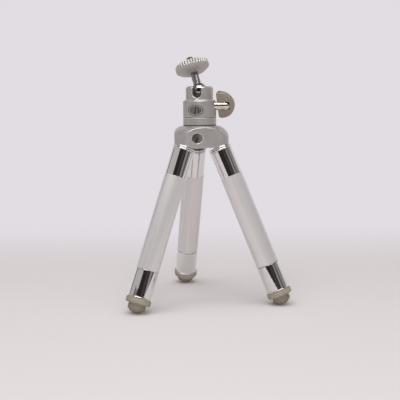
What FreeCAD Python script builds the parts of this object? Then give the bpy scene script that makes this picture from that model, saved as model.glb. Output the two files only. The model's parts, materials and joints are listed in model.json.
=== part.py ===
import FreeCAD, Part
import math
import os

# Table-top camera tripod: three telescopic legs on a cast hub, with a small ball head.
# Millimetres, +Z up, origin on the floor under the hub's axis.

V = FreeCAD.Vector
X_AXIS = V(1, 0, 0)
Y_AXIS = V(0, 1, 0)
Z_AXIS = V(0, 0, 1)

# Shared clearances.
RUN_GAP = 0.05          # radial clearance of a shaft or plunger that moves in its bore
LOOSE_GAP = 0.3         # clearance between pieces that pass without guiding each other
SEAT_GAP = 0.1          # gap at a stop that is at rest
OVERRUN = 1.0           # how far a cutting shape runs past the face it cuts

# Leg layout.
LEG_AZIMUTHS = {"rear": 90.0, "left": 210.0, "right": 330.0}
HALF_PITCH = math.degrees(math.pi) / len(LEG_AZIMUTHS)
SPREAD = 22.8           # leg angle from the vertical when it stands open
PIVOT_R = 14.2          # hinge axis from the hub's axis

# Leg, measured down the leg from its hinge axis.
TUBE_R = 9.33
COLLAR_TOP = 8.6
COLLAR_H = 1.7
COLLAR_STEP = 0.27      # collar and rolled beads stand proud of the tube
COLLAR_R = TUBE_R + COLLAR_STEP
TUBE_TOP = COLLAR_TOP + COLLAR_H
BEAD_H = 1.7
BEAD_STEP = 0.37
BEAD_R = TUBE_R + BEAD_STEP
TUBE_LENGTH = 104.95
TUBE_END = TUBE_TOP + TUBE_LENGTH
EDGE_BEVEL = 0.25

# Nested tubes: outer, second, third, fourth.
TUBE_WALL = 0.48
NEST_WALL = 0.45
NEST_STEP = 0.8         # wall thickness of a bush plus its running gap
BORE_0 = TUBE_R - TUBE_WALL
BORE_1 = BORE_0 - NEST_STEP - NEST_WALL
BORE_2 = BORE_1 - NEST_STEP - NEST_WALL
BORE_3 = BORE_2 - NEST_STEP - NEST_WALL
TUBE_BORE = [BORE_0, BORE_1, BORE_2, BORE_3]
TUBE_OUT = [TUBE_R] + [bore + NEST_WALL for bore in TUBE_BORE[1:]]
MOUTH_H = 3.0
TRAVEL = 74.0
TRAVEL_STOP_GAP = 0.3

# Leg head.
TONGUE_W = 7.5
TONGUE_R = 5.4
NECK_HALF = 4.2
PLUG_LENGTH = 5.85
PLUG_END = TUBE_TOP + PLUG_LENGTH
PLUG_WALL = 3.8

# Grip sleeve, end plug and foot.
SLEEVE_GAP = 0.2        # dark seam between the outer tube and the sleeve
SLEEVE_LENGTH = 23.3
SLEEVE_STEP = 0.12
SLEEVE_R = TUBE_R + SLEEVE_STEP
SLEEVE_WALL = 0.5
SLEEVE_BEAD_STEP = 0.3
SLEEVE_BEAD_R = SLEEVE_R + SLEEVE_BEAD_STEP
SLEEVE_BEAD_H = 1.2
SLEEVE_TOP = TUBE_END + SLEEVE_GAP
SLEEVE_END = SLEEVE_TOP + SLEEVE_LENGTH
PLUG_FLANGE_H = 6.6
PLUG_FLANGE_TOP = SLEEVE_END - PLUG_FLANGE_H
PLUG_SPIGOT_H = 15.0
FOOT_SPIGOT_R = 4.0
FOOT_SPIGOT_H = 5.8
FOOT_FLANGE_STEP = 0.65
FOOT_FLANGE_R = SLEEVE_BEAD_R + FOOT_FLANGE_STEP
FOOT_FLANGE_H = 4.7
FOOT_TOP_BEVEL = 0.6
FOOT_LOW_BEVEL = 1.5
FOOT_STEM_R = 7.2
FOOT_TIP_R = 9.2
FOOT_TIP_DROP = 3.0     # centre of the ball-shaped tip below the sleeve
FOOT_CENTRE = SLEEVE_END + FOOT_TIP_DROP
PIVOT_Z = FOOT_CENTRE * math.cos(math.radians(SPREAD)) + FOOT_TIP_R

# Where the nested tubes start and end.
NEST_ROOM = 0.5
NEST_STAGGER = 1.0
TUBE_STAGGER = 3.0
SECOND_TOP = PLUG_END + NEST_ROOM
NEST_TOP = [TUBE_TOP, SECOND_TOP, SECOND_TOP + NEST_STAGGER, SECOND_TOP + 2 * NEST_STAGGER]
NEST_END = [TUBE_END, TUBE_END + TUBE_STAGGER, TUBE_END + 2 * TUBE_STAGGER, PLUG_FLANGE_TOP]

# Hinge.
SHIM_T = 0.3
SLOT_W = TONGUE_W + 2 * (SHIM_T + RUN_GAP)
POCKET_GAP = 0.6
HINGE_R = 2.5
HINGE_STEP = 0.5        # full shank reaches this far into the threaded side
HINGE_THREAD_R = 2.0
HINGE_THREAD_END = 9.5
HINGE_LAND = 3.3        # wall between the pocket and the screw head's seat
HINGE_SEAT = SLOT_W / 2 + HINGE_LAND
HINGE_HEAD_R = 3.8
HINGE_HEAD_H = 2.4
HINGE_HEAD_GAP = 0.4
HINGE_HOLE_R = HINGE_HEAD_R + HINGE_HEAD_GAP
DRIVE_SLOT_W = 1.1
DRIVE_SLOT_D = 0.9
DRIVE_SLOT_TURN = 25.0

# Hub crown.
HUB_SKIRT = 8.2         # below and above the hinge axes
HUB_RISE = 10.2
HUB_BOTTOM = PIVOT_Z - HUB_SKIRT
HUB_TOP = PIVOT_Z + HUB_RISE
LOBE_INSET = 0.6        # lobe's centre inside the hinge axis
LOBE_CENTRE_R = PIVOT_R - LOBE_INSET
LOBE_R = 11.3
HUB_R = LOBE_CENTRE_R + LOBE_R
SHOULDER_MID_IN = 4.3   # shoulder's middle point, in from the lobe and below the top
SHOULDER_MID_DROP = 2.9
HUB_EDGE = 1.3
HUB_FLAT_R = LOBE_CENTRE_R * math.cos(math.radians(HALF_PITCH)) + LOBE_R
HUB_RECESS_R = 6.5
HUB_RECESS_H = 7.0
HUB_RECESS_TOP = HUB_BOTTOM + HUB_RECESS_H

# Head screw.
HEAD_SCREW_R = 3.0
HEAD_SCREW_GAP = 0.2
HEAD_SCREW_HEAD_R = 5.0
HEAD_SCREW_HEAD_H = 4.0
HEAD_SCREW_GRIP = 5.5
HEAD_SCREW_END = HUB_TOP + HEAD_SCREW_GRIP
HEX_R = 2.9
HEX_DEPTH = 2.2
WASHER_R = 6.0
WASHER_T = 1.0

# Ball head.
BASE_R = 14.0
BASE_H = 6.8
BASE_TOP = HUB_TOP + BASE_H
SEAM_BEVEL = 0.35
SPIGOT_R = 10.5
SPIGOT_H = 3.5
SPIGOT_TOP = BASE_TOP + SPIGOT_H
LOWER_H = 14.6
LEDGE_Z = BASE_TOP + LOWER_H
LEDGE_EDGE = 1.9        # rounding of the ledge
LEDGE_EDGE_SHARE = 0.9  # most of the ledge's width that the rounding takes
UPPER_R = 11.55
UPPER_H = 11.4
HOUSING_TOP = LEDGE_Z + UPPER_H
HOUSING_EDGE = 2.5
SHOULDER_STEP = 0.1
SHOULDER_IN_R = BASE_R - SHOULDER_STEP
BALL_R = 6.9
BALL_DEPTH = 3.8        # ball's centre below the housing's top
BALL_Z = HOUSING_TOP - BALL_DEPTH
BORE_ROOM = 0.7
BORE_R = BALL_R + BORE_ROOM
MOUTH_R = 6.25
MOUTH_FLARE = 0.8
NOTCH_AZIMUTH = 246.0
NOTCH_W = 7.8
NOTCH_DROP = 6.0        # notch's lowest point below the ball's centre
CLAMP_AZIMUTH = 334.0
CLAMP_RISE = 9.55
CLAMP_Z = BASE_TOP + CLAMP_RISE

# Cup, spring, wedge and pin under the ball.
CUP_DROP = 2.2          # cup's rim below the ball's centre
CUP_TOP = BALL_Z - CUP_DROP
CUP_H = 5.6
CUP_BOTTOM = CUP_TOP - CUP_H
SPRING_T = 0.4
SPRING_RISE = 0.5
SPRING_OUT_R = 6.6
SPRING_IN_R = 3.4
WEDGE_TOP = CUP_BOTTOM - SPRING_T - SPRING_RISE - SEAT_GAP
WEDGE_DROP_ROOM = 0.8
WEDGE_BOTTOM = SPIGOT_TOP + WEDGE_DROP_ROOM
PIN_R = 2.5
PIN_TIP_X = 0.6
PIN_TIP_R = 0.15
PIN_END_X = 9.4

# Clamp screw and wing knob.
SHAFT_R = 3.6
SHAFT_BEVEL = 0.4
SHAFT_NOSE_X = 21.6
SHAFT_TIP_X = 25.9
SHAFT_TIP_R = 1.4
NOSE_FALL = 0.55
WING_FLAT_X = 15.3
WING_R = 12.25
WING_CORNER = 2.2
WING_ARC_X = WING_FLAT_X + WING_CORNER
WING_OUT_X = WING_ARC_X + WING_R
WING_T = 4.4
WING_EDGE = 0.9
WING_SET = WING_T / 2    # plate's middle behind the shaft's line, so its face leaves half the shaft bare
WING_TURN = 30.0
CROSS_PIN_X = 18.2
CROSS_PIN_R = 0.9
CROSS_PIN_LOW = -7.0
CROSS_PIN_HIGH = 9.0

# Badge.
BADGE_HALF_W = 6.6
BADGE_HALF_H = 4.5
BADGE_RISE = 6.1
BADGE_AZIMUTH = 243.0
BADGE_Z = BASE_TOP + BADGE_RISE
BADGE_T = 0.35

# Stem and lock disc, measured from the ball's centre along the stem.
LEAN = 24.4
LEAN_AZIMUTH = 118.0
STEM_R = 3.25
STUD_R = 3.175          # quarter inch camera thread at its outer diameter
THREAD_PITCH_R = 2.76   # the same thread at its pitch diameter, where the disc engages it
STEM_START = -3.0
STEM_TIP = 30.5
STEM_TIP_BEVEL = 0.6
DISC_NECK = 16.1
DISC_NECK_R = 5.2
DISC_BOWL_IN = 2.8      # bowl's middle point, in from the rim and above the neck
DISC_BOWL_RISE = 2.0
DISC_RIM_LOW = 20.2
DISC_TOP = 24.8
DISC_R = 14.4
DISC_EDGE = 1.2
DISC_MOUTH_R = 3.6      # countersunk mouth of the disc's thread
THREAD_START = DISC_NECK - SEAT_GAP
STUD_START = DISC_TOP + SEAT_GAP
RIB_COUNT = 36
RIB_GROOVE_R = 0.9
RIB_GROOVE_DEPTH = 0.55
RIB_LOW = 20.6


def wire(points):
    """Closed polygon face from points in the XZ plane."""
    corners = [V(x, 0, z) for x, z in points]
    return Part.Face(Part.makePolygon(corners + corners[:1]))


def turned(points):
    """Solid of revolution about Z from (radius, height) points."""
    return wire(points).revolve(V(0, 0, 0), Z_AXIS, 360)


def rod(radius, low, high):
    """Cylinder on the Z axis."""
    return Part.makeCylinder(radius, high - low, V(0, 0, low), Z_AXIS)


def ring(outer, inner, low, high):
    """Tube on the Z axis."""
    return rod(outer, low, high).cut(rod(inner, low - OVERRUN, high + OVERRUN))


def block(x0, x1, y0, y1, z0, z1):
    return Part.makeBox(x1 - x0, y1 - y0, z1 - z0, V(x0, y0, z0))


def along_x(radius, x0, x1):
    """Cylinder on the X axis."""
    return Part.makeCylinder(radius, x1 - x0, V(x0, 0, 0), X_AXIS)


def along_y(radius, y0, y1):
    """Cylinder on the Y axis."""
    return Part.makeCylinder(radius, y1 - y0, V(0, y0, 0), Y_AXIS)


def spun(shape, azimuth):
    """Turns a shape about the object's upright axis."""
    shape.rotate(V(0, 0, 0), Z_AXIS, azimuth)
    return shape


def group(shapes):
    return Part.makeCompound(shapes)


def save(shape, node):
    shape.exportStep("parts/" + node + ".step")


# Leg pieces. A leg is built upright with its hinge axis on Y through the origin, then opened and placed.

def place_leg(shape, azimuth):
    shape.rotate(V(0, 0, 0), Y_AXIS, -SPREAD)
    shape.translate(V(PIVOT_R, 0, PIVOT_Z))
    return spun(shape, azimuth)


def rounded_bead(inner, outer, top, height):
    """Ring with a half-round outer edge; top is measured down the leg."""
    half = height / 2
    core = outer - half
    body = ring(core, inner, -top - height, -top)
    edge = Part.makeTorus(core, half, V(0, 0, -top - half), Z_AXIS)
    return body.fuse(edge.cut(rod(inner, -top - height - OVERRUN, -top + OVERRUN)))


def leg_head():
    """Tongue, stop collar and the plug that holds the outer tube."""
    half = TONGUE_W / 2
    core = COLLAR_R - COLLAR_H / 2
    middle = COLLAR_TOP + COLLAR_H / 2
    knuckle = along_y(TONGUE_R, -half, half)
    neck = block(-NECK_HALF, NECK_HALF, -half, half, -middle, 0)
    collar = rod(core, -TUBE_TOP, -COLLAR_TOP)
    bead = Part.makeTorus(core, COLLAR_H / 2, V(0, 0, -middle), Z_AXIS)
    plug = rod(BORE_0, -PLUG_END, -TUBE_TOP)
    body = knuckle.fuse([neck, collar, bead, plug])
    body = body.cut(rod(BORE_0 - PLUG_WALL, -PLUG_END - OVERRUN, -TUBE_TOP))
    body = body.cut(along_y(HINGE_R + RUN_GAP, -TONGUE_W, TONGUE_W))
    return body.removeSplitter()


def necked_tube(level):
    """Tube with an inward mouth that guides the next tube and stops its bush."""
    outer = TUBE_OUT[level]
    bore = TUBE_BORE[level]
    top = NEST_TOP[level]
    end = NEST_END[level]
    mouth = TUBE_OUT[level + 1] + RUN_GAP
    slope = bore - mouth
    return turned([
        (bore, -top),
        (outer, -top),
        (outer, -end + EDGE_BEVEL),
        (outer - EDGE_BEVEL, -end),
        (mouth, -end),
        (mouth, -end + MOUTH_H),
        (bore, -end + MOUTH_H + slope),
    ])


def outer_tube():
    bead = rounded_bead(BORE_0, BEAD_R, TUBE_TOP, BEAD_H)
    return necked_tube(0).fuse(bead).removeSplitter()


def plain_tube():
    return ring(TUBE_OUT[3], BORE_3, -NEST_END[3], -NEST_TOP[3])


def bush(level):
    """Friction bush at the top of an inner tube; it meets the outer neck at full travel."""
    inner = TUBE_OUT[level]
    outer = TUBE_BORE[level - 1] - RUN_GAP
    neck_slope = TUBE_BORE[level - 1] - inner - RUN_GAP
    neck = NEST_END[level - 1] - MOUTH_H - neck_slope
    end = neck - TRAVEL - TRAVEL_STOP_GAP
    top = NEST_TOP[level]
    return turned([
        (inner, -top),
        (outer - EDGE_BEVEL, -top),
        (outer, -top - EDGE_BEVEL),
        (outer, -end + EDGE_BEVEL),
        (outer - EDGE_BEVEL, -end),
        (inner, -end),
    ])


def grip_sleeve():
    bore = SLEEVE_R - SLEEVE_WALL
    shell = turned([
        (bore, -SLEEVE_TOP),
        (SLEEVE_R - EDGE_BEVEL, -SLEEVE_TOP),
        (SLEEVE_R, -SLEEVE_TOP - EDGE_BEVEL),
        (SLEEVE_R, -SLEEVE_END),
        (bore, -SLEEVE_END),
    ])
    bead = rounded_bead(bore, SLEEVE_BEAD_R, SLEEVE_END - SLEEVE_BEAD_H, SLEEVE_BEAD_H)
    return shell.fuse(bead).removeSplitter()


def end_plug():
    """Joins the fourth tube, the grip sleeve and the foot."""
    spigot = rod(BORE_3, -PLUG_FLANGE_TOP, -PLUG_FLANGE_TOP + PLUG_SPIGOT_H)
    flange = rod(SLEEVE_R - SLEEVE_WALL, -SLEEVE_END, -PLUG_FLANGE_TOP)
    barb = rod(FOOT_SPIGOT_R, -SLEEVE_END - FOOT_SPIGOT_H, -SLEEVE_END)
    return spigot.fuse([flange, barb]).removeSplitter()


def rubber_foot():
    """Flange, short stem and rounded tip, pushed over the end plug."""
    flange_end = SLEEVE_END + FOOT_FLANGE_H
    tip_drop = math.sqrt(FOOT_TIP_R ** 2 - FOOT_STEM_R ** 2)
    flange = turned([
        (0, -SLEEVE_END),
        (FOOT_FLANGE_R - FOOT_TOP_BEVEL, -SLEEVE_END),
        (FOOT_FLANGE_R, -SLEEVE_END - FOOT_TOP_BEVEL),
        (FOOT_FLANGE_R, -flange_end + FOOT_LOW_BEVEL),
        (FOOT_FLANGE_R - FOOT_LOW_BEVEL, -flange_end),
        (0, -flange_end),
    ])
    stem = rod(FOOT_STEM_R, -FOOT_CENTRE - tip_drop, -flange_end)
    ball = Part.makeSphere(FOOT_TIP_R, V(0, 0, -FOOT_CENTRE))
    tip = ball.common(rod(FOOT_STEM_R, -FOOT_CENTRE - FOOT_TIP_R - OVERRUN, -flange_end))
    body = flange.fuse([stem, tip])
    return body.cut(rod(FOOT_SPIGOT_R, -SLEEVE_END - FOOT_SPIGOT_H, -SLEEVE_END + OVERRUN)).removeSplitter()


def build_legs():
    for name, azimuth in LEG_AZIMUTHS.items():
        pieces = {
            "leg_head": leg_head(),
            "outer_tube": outer_tube(),
            "second_tube": necked_tube(1),
            "third_tube": necked_tube(2),
            "fourth_tube": plain_tube(),
            "second_bush": bush(1),
            "third_bush": bush(2),
            "fourth_bush": bush(3),
            "grip_sleeve": grip_sleeve(),
            "end_plug": end_plug(),
            "foot": rubber_foot(),
        }
        for piece, shape in pieces.items():
            save(place_leg(shape, azimuth), name + "_" + piece)


# Hub pieces.

def hub_outline(low, high):
    """Prism whose outline is the tightest band round the three lobes."""
    lobes = []
    corners = []
    for azimuth in LEG_AZIMUTHS.values():
        lobe = Part.makeCylinder(LOBE_R, high - low, V(LOBE_CENTRE_R, 0, low), Z_AXIS)
        lobes.append(spun(lobe, azimuth))
        middle = math.radians(azimuth + HALF_PITCH)
        half = LOBE_CENTRE_R * math.sin(math.radians(HALF_PITCH))
        for side in (-half, half):
            x = HUB_FLAT_R * math.cos(middle) - side * math.sin(middle)
            y = HUB_FLAT_R * math.sin(middle) + side * math.cos(middle)
            corners.append(V(x, y, low))
    face = Part.Face(Part.makePolygon(corners + corners[:1]))
    return face.extrude(V(0, 0, high - low)).fuse(lobes).removeSplitter()


def hub_dome():
    """Round body whose shoulder falls from the head's seat to the lobes."""
    middle = V(HUB_R - SHOULDER_MID_IN, 0, HUB_TOP - SHOULDER_MID_DROP)
    rise = Part.Arc(V(HUB_R, 0, PIVOT_Z), middle, V(SHOULDER_IN_R, 0, HUB_TOP))
    edges = [
        Part.makeLine(V(0, 0, HUB_BOTTOM), V(HUB_R, 0, HUB_BOTTOM)),
        Part.makeLine(V(HUB_R, 0, HUB_BOTTOM), V(HUB_R, 0, PIVOT_Z)),
        rise.toShape(),
        Part.makeLine(V(SHOULDER_IN_R, 0, HUB_TOP), V(0, 0, HUB_TOP)),
        Part.makeLine(V(0, 0, HUB_TOP), V(0, 0, HUB_BOTTOM)),
    ]
    return Part.Face(Part.Wire(edges)).revolve(V(0, 0, 0), Z_AXIS, 360)


def soften(body, low, high, radius):
    """Rounds the sharp edges between the flats and the shoulder."""
    sharp = []
    for edge in body.Edges:
        box = edge.BoundBox
        if box.ZMin > low and box.ZMax < high and box.ZLength > radius:
            sharp.append(edge)
    return body.makeFillet(radius, sharp)


def in_leg_frame(shape, azimuth):
    """Moves a shape drawn about the hinge axis to its place in the hub."""
    shape.translate(V(PIVOT_R, 0, PIVOT_Z))
    return spun(shape, azimuth)


def hinge_pocket():
    """Space for the tongue, from the leg folded straight down to the leg open."""
    half = SLOT_W / 2
    lean = math.radians(SPREAD)
    drop = PIVOT_Z - HUB_BOTTOM + OVERRUN
    edge = NECK_HALF + POCKET_GAP
    top_x = edge * math.cos(lean)
    top_z = edge * math.sin(lean)
    bottom_x = edge / math.cos(lean) + drop * math.tan(lean)
    outline = [(-edge, 0), (top_x, top_z), (bottom_x, -drop), (-edge, -drop)]
    face = wire(outline)
    face.translate(V(0, -half, 0))
    return face.extrude(V(0, SLOT_W, 0)).fuse(along_y(TONGUE_R + POCKET_GAP, -half, half))


def stop_cut():
    """Trims the lobe's underside square to the open leg, where its collar stops."""
    reach = COLLAR_TOP - SEAT_GAP
    cutter = block(-COLLAR_R, HUB_R, -HUB_R, HUB_R, -reach - LOBE_R, -reach)
    cutter.rotate(V(0, 0, 0), Y_AXIS, -SPREAD)
    return cutter


def hinge_bores():
    """Stepped hole: head seat, shank through both walls, blind threaded end."""
    step = SLOT_W / 2 + HINGE_STEP
    shank = along_y(HINGE_R, -step, HINGE_SEAT + OVERRUN)
    thread = along_y(HINGE_THREAD_R, -HINGE_THREAD_END, OVERRUN - step)
    counterbore = along_y(HINGE_HOLE_R, HINGE_SEAT, HINGE_SEAT + HUB_R)
    return shank.fuse([thread, counterbore])


def hub_crown():
    body = hub_dome().common(hub_outline(HUB_BOTTOM - OVERRUN, HUB_TOP + OVERRUN))
    body = soften(body, PIVOT_Z, HUB_TOP, HUB_EDGE)
    cuts = [rod(HUB_RECESS_R, HUB_BOTTOM - OVERRUN, HUB_RECESS_TOP)]
    cuts.append(rod(HEAD_SCREW_R + HEAD_SCREW_GAP, HUB_BOTTOM, HUB_TOP + OVERRUN))
    for azimuth in LEG_AZIMUTHS.values():
        for cutter in (hinge_pocket(), stop_cut(), hinge_bores()):
            cuts.append(in_leg_frame(cutter, azimuth))
    return body.cut(cuts)


def hinge_screw():
    step = SLOT_W / 2 + HINGE_STEP
    face = HINGE_SEAT + HINGE_HEAD_H
    head = along_y(HINGE_HEAD_R, HINGE_SEAT, face)
    shank = along_y(HINGE_R, -step, HINGE_SEAT)
    thread = along_y(HINGE_THREAD_R, LOOSE_GAP - HINGE_THREAD_END, -step)
    reach = HINGE_HEAD_R + OVERRUN
    half = DRIVE_SLOT_W / 2
    slot = block(-half, half, face - DRIVE_SLOT_D, face + OVERRUN, -reach, reach)
    slot.rotate(V(0, 0, 0), Y_AXIS, DRIVE_SLOT_TURN)
    return head.fuse([shank, thread]).cut(slot).removeSplitter()


def shim(low, high):
    return along_y(TONGUE_R, low, high).cut(along_y(HINGE_R + RUN_GAP, low - OVERRUN, high + OVERRUN))


def build_hub():
    save(hub_crown(), "hub_crown")
    screws = []
    shims = []
    half = SLOT_W / 2
    for azimuth in LEG_AZIMUTHS.values():
        screws.append(in_leg_frame(hinge_screw(), azimuth))
        shims.append(in_leg_frame(shim(half - SHIM_T, half), azimuth))
        shims.append(in_leg_frame(shim(-half, -half + SHIM_T), azimuth))
    save(group(screws), "hinge_screws")
    save(group(shims), "hinge_shims")
    seat = HUB_RECESS_TOP - WASHER_T
    save(ring(WASHER_R, HEAD_SCREW_R + HEAD_SCREW_GAP, seat, HUB_RECESS_TOP), "head_washer")
    save(head_screw(seat), "head_screw")


def head_screw(seat):
    """Socket screw that holds the head on the hub; seat is the height under its washer."""
    low = seat - HEAD_SCREW_HEAD_H
    head = rod(HEAD_SCREW_HEAD_R, low, seat)
    shank = rod(HEAD_SCREW_R, seat, HEAD_SCREW_END)
    corners = []
    for step in range(6):
        angle = math.radians(60 * step)
        x = HEX_R * math.cos(angle)
        y = HEX_R * math.sin(angle)
        corners.append(V(x, y, low - OVERRUN))
    face = Part.Face(Part.makePolygon(corners + corners[:1]))
    socket = face.extrude(V(0, 0, HEX_DEPTH + OVERRUN))
    return head.fuse(shank).cut(socket).removeSplitter()


# Head pieces.

def in_clamp_frame(shape):
    """Moves a shape drawn along X to the clamp screw's line."""
    shape.translate(V(0, 0, CLAMP_Z))
    return spun(shape, CLAMP_AZIMUTH)


def head_base():
    body = turned([
        (0, HUB_TOP),
        (BASE_R - SEAM_BEVEL, HUB_TOP),
        (BASE_R, HUB_TOP + SEAM_BEVEL),
        (BASE_R, BASE_TOP - SEAM_BEVEL),
        (BASE_R - SEAM_BEVEL, BASE_TOP),
        (SPIGOT_R, BASE_TOP),
        (SPIGOT_R, SPIGOT_TOP - EDGE_BEVEL),
        (SPIGOT_R - EDGE_BEVEL, SPIGOT_TOP),
        (0, SPIGOT_TOP),
    ])
    return body.cut(rod(HEAD_SCREW_R, HUB_TOP - OVERRUN, HEAD_SCREW_END + LOOSE_GAP))


def notch_cut():
    """Round-bottomed notch that the stem drops into."""
    half = NOTCH_W / 2
    centre = BALL_Z - NOTCH_DROP + half
    arch = along_x(half, 0, UPPER_R + OVERRUN)
    arch.translate(V(0, 0, centre))
    gap = block(0, UPPER_R + OVERRUN, -half, half, centre, HOUSING_TOP + OVERRUN)
    return spun(arch.fuse(gap), NOTCH_AZIMUTH)


def rims_at(body, height, radius):
    """Round edges at a height with a given radius."""
    rims = []
    for edge in body.Edges:
        box = edge.BoundBox
        level = abs(box.ZMin - height) < RUN_GAP and abs(box.ZMax - height) < RUN_GAP
        if level and abs(box.XMax - radius) < RUN_GAP:
            rims.append(edge)
    return rims


def ball_housing():
    top = turned([
        (0, BASE_TOP),
        (BASE_R - SEAM_BEVEL, BASE_TOP),
        (BASE_R, BASE_TOP + SEAM_BEVEL),
        (BASE_R, LEDGE_Z),
        (UPPER_R, LEDGE_Z),
        (UPPER_R, HOUSING_TOP),
        (0, HOUSING_TOP),
    ])
    body = top.makeFillet(HOUSING_EDGE, rims_at(top, HOUSING_TOP, UPPER_R))
    ledge_edge = min(LEDGE_EDGE, LEDGE_EDGE_SHARE * (BASE_R - UPPER_R))
    body = body.makeFillet(ledge_edge, rims_at(body, LEDGE_Z, BASE_R))
    seat = Part.makeSphere(BALL_R + RUN_GAP, V(0, 0, BALL_Z))
    cavity = rod(BORE_R, BASE_TOP - OVERRUN, BALL_Z)
    thread = rod(SPIGOT_R, BASE_TOP - OVERRUN, SPIGOT_TOP + SEAT_GAP)
    mouth = rod(MOUTH_R, BALL_Z, HOUSING_TOP + OVERRUN)
    flare_base = V(0, 0, HOUSING_TOP - MOUTH_FLARE)
    flare = Part.makeCone(MOUTH_R, MOUTH_R + 2 * MOUTH_FLARE, 2 * MOUTH_FLARE, flare_base, Z_AXIS)
    clamp = in_clamp_frame(along_x(SHAFT_R + RUN_GAP, PIN_END_X - LOOSE_GAP, BASE_R + OVERRUN))
    guide = in_clamp_frame(along_x(PIN_R + RUN_GAP, 0, PIN_END_X))
    return body.cut([seat, cavity, thread, mouth, flare, clamp, guide, notch_cut()])


def ball_cup():
    body = rod(BORE_R - RUN_GAP, CUP_BOTTOM, CUP_TOP)
    dish = Part.makeSphere(BALL_R + RUN_GAP, V(0, 0, BALL_Z))
    return body.cut(dish)


def cup_spring():
    """Shallow cone ring between the wedge and the cup."""
    return turned([
        (SPRING_IN_R, WEDGE_TOP + SPRING_RISE),
        (SPRING_OUT_R, WEDGE_TOP),
        (SPRING_OUT_R, WEDGE_TOP + SPRING_T),
        (SPRING_IN_R, WEDGE_TOP + SPRING_RISE + SPRING_T),
    ])


def lift_wedge():
    """Plunger with a sloping face that the pin's cone pushes up."""
    body = rod(BORE_R - RUN_GAP, WEDGE_BOTTOM, WEDGE_TOP)
    room = PIN_R + LOOSE_GAP
    reach = BORE_R + OVERRUN
    low = WEDGE_BOTTOM - CLAMP_Z - OVERRUN
    rise = PIN_R + 2 * LOOSE_GAP
    start = PIN_TIP_X - RUN_GAP
    slope = wire([(start, low), (start, 0), (start + rise, rise), (reach, rise), (reach, low)])
    slope.translate(V(0, -room, 0))
    return body.cut(in_clamp_frame(slope.extrude(V(0, 2 * room, 0))))


def thrust_pin():
    """Pin with a square cone that lifts the wedge as it moves in."""
    shank = along_x(PIN_R, PIN_TIP_X + PIN_R, PIN_END_X)
    point = Part.makeCone(PIN_TIP_R, PIN_R, PIN_R - PIN_TIP_R, V(PIN_TIP_X + PIN_TIP_R, 0, 0), X_AXIS)
    return in_clamp_frame(shank.fuse(point).removeSplitter())


def clamp_screw():
    """Shaft with a rounded nose that shows through the wing."""
    nose_mid = (SHAFT_NOSE_X + SHAFT_TIP_X) / 2
    curve = Part.Arc(
        V(SHAFT_NOSE_X, 0, SHAFT_R),
        V(nose_mid, 0, SHAFT_R - NOSE_FALL),
        V(SHAFT_TIP_X, 0, SHAFT_TIP_R),
    )
    start = PIN_END_X
    edges = [
        Part.makeLine(V(start, 0, 0), V(start, 0, SHAFT_R - SHAFT_BEVEL)),
        Part.makeLine(V(start, 0, SHAFT_R - SHAFT_BEVEL), V(start + SHAFT_BEVEL, 0, SHAFT_R)),
        Part.makeLine(V(start + SHAFT_BEVEL, 0, SHAFT_R), V(SHAFT_NOSE_X, 0, SHAFT_R)),
        curve.toShape(),
        Part.makeLine(V(SHAFT_TIP_X, 0, SHAFT_TIP_R), V(SHAFT_TIP_X, 0, 0)),
        Part.makeLine(V(SHAFT_TIP_X, 0, 0), V(start, 0, 0)),
    ]
    body = Part.Face(Part.Wire(edges)).revolve(V(0, 0, 0), X_AXIS, 360)
    return in_wing_frame(body.cut(cross_rod(-WING_R, WING_R)))


def cross_rod(low, high):
    """Rod across the shaft in the middle of the plate's thickness."""
    return Part.makeCylinder(CROSS_PIN_R, high - low, V(CROSS_PIN_X, WING_SET, low), Z_AXIS)


def in_wing_frame(shape):
    """Turns a shape about the shaft to the wing's rest angle and sets it in place."""
    shape.rotate(V(0, 0, 0), X_AXIS, WING_TURN)
    return in_clamp_frame(shape)


def wing_plate():
    """Half-moon plate behind the XZ plane with softened edges."""
    straight = WING_R - WING_CORNER
    edges = [
        Part.makeLine(V(WING_FLAT_X, 0, -straight), V(WING_FLAT_X, 0, straight)),
        corner_arc(1),
        Part.Arc(V(WING_ARC_X, 0, WING_R), V(WING_OUT_X, 0, 0), V(WING_ARC_X, 0, -WING_R)).toShape(),
        corner_arc(-1),
    ]
    face = Part.Face(Part.Wire(Part.sortEdges(edges)[0]))
    face.translate(V(0, WING_SET - WING_T / 2, 0))
    plate = face.extrude(V(0, WING_T, 0))
    rims = [edge for edge in plate.Edges if edge.BoundBox.YLength < RUN_GAP]
    return plate.makeFillet(WING_EDGE, rims)


def corner_arc(side):
    """Quarter-round corner between the flat side and the start of the curve."""
    bend = 1 - math.sqrt(0.5)
    start = V(WING_FLAT_X, 0, side * (WING_R - WING_CORNER))
    middle = V(WING_FLAT_X + (WING_ARC_X - WING_FLAT_X) * bend, 0, side * (WING_R - WING_CORNER * bend))
    end = V(WING_ARC_X, 0, side * WING_R)
    return Part.Arc(start, middle, end).toShape()


def clamp_knob():
    shaft = along_x(SHAFT_R, WING_FLAT_X - OVERRUN, SHAFT_TIP_X)
    body = wing_plate().cut([shaft, cross_rod(CROSS_PIN_LOW, WING_R)])
    return in_wing_frame(body)


def knob_pin():
    return in_wing_frame(cross_rod(CROSS_PIN_LOW, CROSS_PIN_HIGH))


def badge():
    """Thin oval skin wrapped on the housing's lower part."""
    skin = ring(BASE_R + BADGE_T, BASE_R, BADGE_Z - BADGE_HALF_H, BADGE_Z + BADGE_HALF_H)
    oval = Part.Ellipse(V(0, 0, 0), BADGE_HALF_W, BADGE_HALF_H)
    face = Part.Face(Part.Wire(oval.toShape()))
    prism = face.extrude(V(0, 0, 2 * BASE_R))
    prism.rotate(V(0, 0, 0), X_AXIS, 90)
    prism.rotate(V(0, 0, 0), Z_AXIS, 90 + BADGE_AZIMUTH)
    prism.translate(V(0, 0, BADGE_Z))
    return skin.common(prism)


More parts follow.
